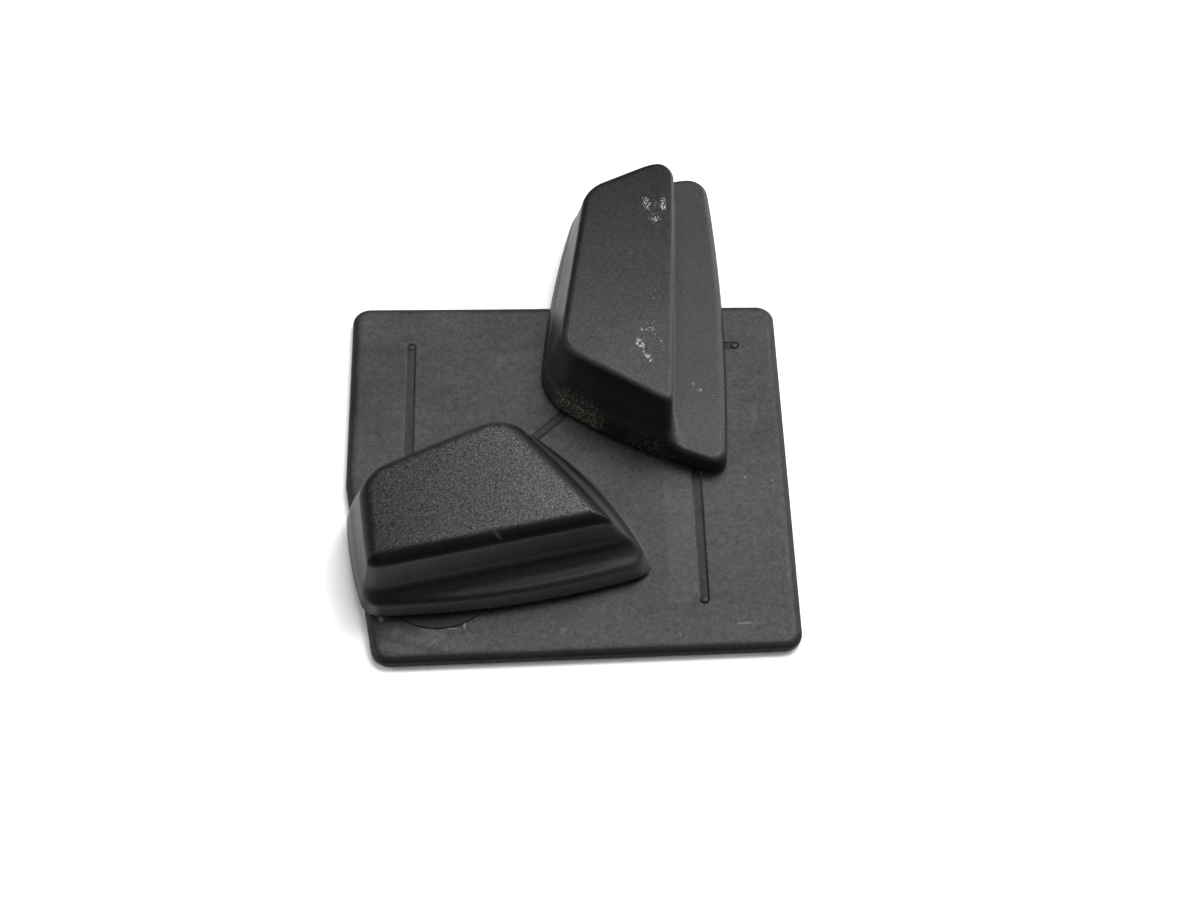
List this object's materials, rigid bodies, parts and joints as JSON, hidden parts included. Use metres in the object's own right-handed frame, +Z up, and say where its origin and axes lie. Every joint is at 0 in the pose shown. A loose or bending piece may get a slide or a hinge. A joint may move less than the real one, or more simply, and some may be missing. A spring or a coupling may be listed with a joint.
{
  "type": "door wedge set",
  "caption": "Thin square base plate with guide grooves carrying two tapered stop blocks, each with a low step along one side and swivelling on a round disc.",
  "frame": {"origin": "on the underside of the grip pad, under the middle of the base plate, on the floor", "axes": "+Z up; +X along the plate's straight back edge, to the right seen from the front; +Y towards the back of the plate, where the long block overhangs"},
  "size_m": [0.12, 0.1634, 0.0234],
  "materials": {
    "plate_plastic": "smooth matt moulded black plastic, lightly smudged",
    "coarse_grain_plastic": "black plastic with a coarse spark-eroded grain",
    "fine_grain_plastic": "black plastic with a fine moulded grain, lightly scuffed",
    "disc_plastic": "smooth black plastic",
    "cover_plastic": "matt black plastic",
    "pad_rubber": "matt black rubber",
    "screw_steel": "zinc plated steel",
    "spring_steel": "spring steel",
    "insert_brass": "turned brass"
  },
  "bodies": {
    "base": {"base_plate": "plate_plastic", "grip_pad": "pad_rubber", "short_swivel_disc": "disc_plastic", "long_swivel_disc": "disc_plastic"},
    "short_block": {"short_block_shell": "coarse_grain_plastic", "short_block_cover": "cover_plastic", "short_pivot_screw": "screw_steel", "short_spring_washer": "spring_steel", "short_threaded_insert": "insert_brass", "short_cover_screw_1": "screw_steel", "short_cover_screw_2": "screw_steel", "short_cover_screw_3": "screw_steel"},
    "long_block": {"long_block_shell": "fine_grain_plastic", "long_block_cover": "cover_plastic", "long_pivot_screw": "screw_steel", "long_spring_washer": "spring_steel", "long_threaded_insert": "insert_brass", "long_cover_screw_1": "screw_steel", "long_cover_screw_2": "screw_steel", "long_cover_screw_3": "screw_steel", "long_cover_screw_4": "screw_steel"}
  },
  "joints": [
    {"name": "short_block_swivel", "type": "hinge", "parent": "base", "child": "short_block", "pos_m": [-0.0347, -0.0343, 0.0036], "axis": [0, 0, 1], "range_deg": [-60, 20]},
    {"name": "long_block_swivel", "type": "hinge", "parent": "base", "child": "long_block", "pos_m": [0.019, 0.032, 0.0036], "axis": [0, 0, 1], "range_deg": [-30, 60]}
  ]
}
